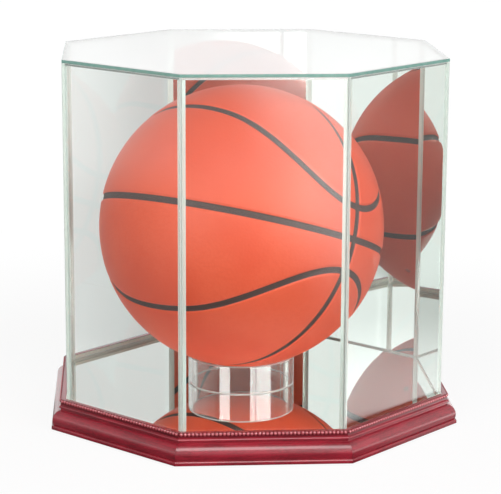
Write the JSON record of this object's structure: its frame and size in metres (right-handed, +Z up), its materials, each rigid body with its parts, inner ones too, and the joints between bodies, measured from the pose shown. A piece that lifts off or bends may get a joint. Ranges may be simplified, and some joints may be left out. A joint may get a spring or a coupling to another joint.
{
  "type": "octagonal ball display case",
  "caption": "Octagonal glass display case with mirrored back panels, a mirrored floor, a beaded wooden base and a clear ring stand that carries a ball.",
  "frame": {"origin": "middle of the underside, at the bottom of the felt feet", "axes": "+Z up, -Y to the front of the case, opposite the middle mirror; +X to the right seen from the front"},
  "size_m": [0.3346, 0.3346, 0.3038],
  "materials": {
    "cherry_wood": "gloss lacquer over a red cherry stain",
    "nail_steel": "bright",
    "felt": "matt felt",
    "base_board": "plain fibreboard",
    "floor_mirror": "polished",
    "seat_tape": "soft",
    "clear_glass": "polished, green at the edges",
    "wall_mirror": "polished, with a grey painted back",
    "clear_seal": "clear, glossy",
    "acrylic": "clear, polished rims",
    "ball_channel": "black, matt",
    "ball_valve": "black, satin",
    "ball_cover": "orange, fine pebble grain"
  },
  "bodies": {
    "base": {"rail_front": "cherry_wood", "rail_front_right": "cherry_wood", "rail_right": "cherry_wood", "rail_back_right": "cherry_wood", "rail_back": "cherry_wood", "rail_back_left": "cherry_wood", "rail_left": "cherry_wood", "rail_front_left": "cherry_wood", "mitre_nails": "nail_steel", "felt_feet": "felt", "base_board": "base_board", "floor_mirror": "floor_mirror", "cover_tape": "seat_tape"},
    "cover": {"glass_front": "clear_glass", "glass_front_right": "clear_glass", "glass_right": "clear_glass", "mirror_back_right": "wall_mirror", "mirror_back": "wall_mirror", "mirror_back_left": "wall_mirror", "glass_left": "clear_glass", "glass_front_left": "clear_glass", "corner_seal_1": "clear_seal", "corner_seal_2": "clear_seal", "corner_seal_3": "clear_seal", "corner_seal_4": "clear_seal", "corner_seal_5": "clear_seal", "corner_seal_6": "clear_seal", "corner_seal_7": "clear_seal", "corner_seal_8": "clear_seal", "top_seal": "clear_seal", "top_glass": "clear_glass"},
    "stand": {"ring_stand": "acrylic"},
    "ball": {"ball_carcass": "ball_channel", "ball_valve": "ball_valve", "ball_end_panel_1": "ball_cover", "ball_end_panel_2": "ball_cover", "ball_end_panel_3": "ball_cover", "ball_end_panel_4": "ball_cover", "ball_side_panel_1": "ball_cover", "ball_side_panel_2": "ball_cover", "ball_side_panel_3": "ball_cover", "ball_side_panel_4": "ball_cover"}
  },
  "joints": [
    {"name": "cover_lift", "type": "slide", "parent": "base", "child": "cover", "axis": [0, 0, 1], "range_m": [0, 0.28]},
    {"name": "stand_lift", "type": "slide", "parent": "base", "child": "stand", "axis": [0, 0, 1], "range_m": [0, 0.012]},
    {"name": "ball_turn", "type": "hinge", "parent": "stand", "child": "ball", "pos_m": [-0.0059, -0.0051, 0.1554], "axis": [0, 0, 1], "continuous": true}
  ]
}
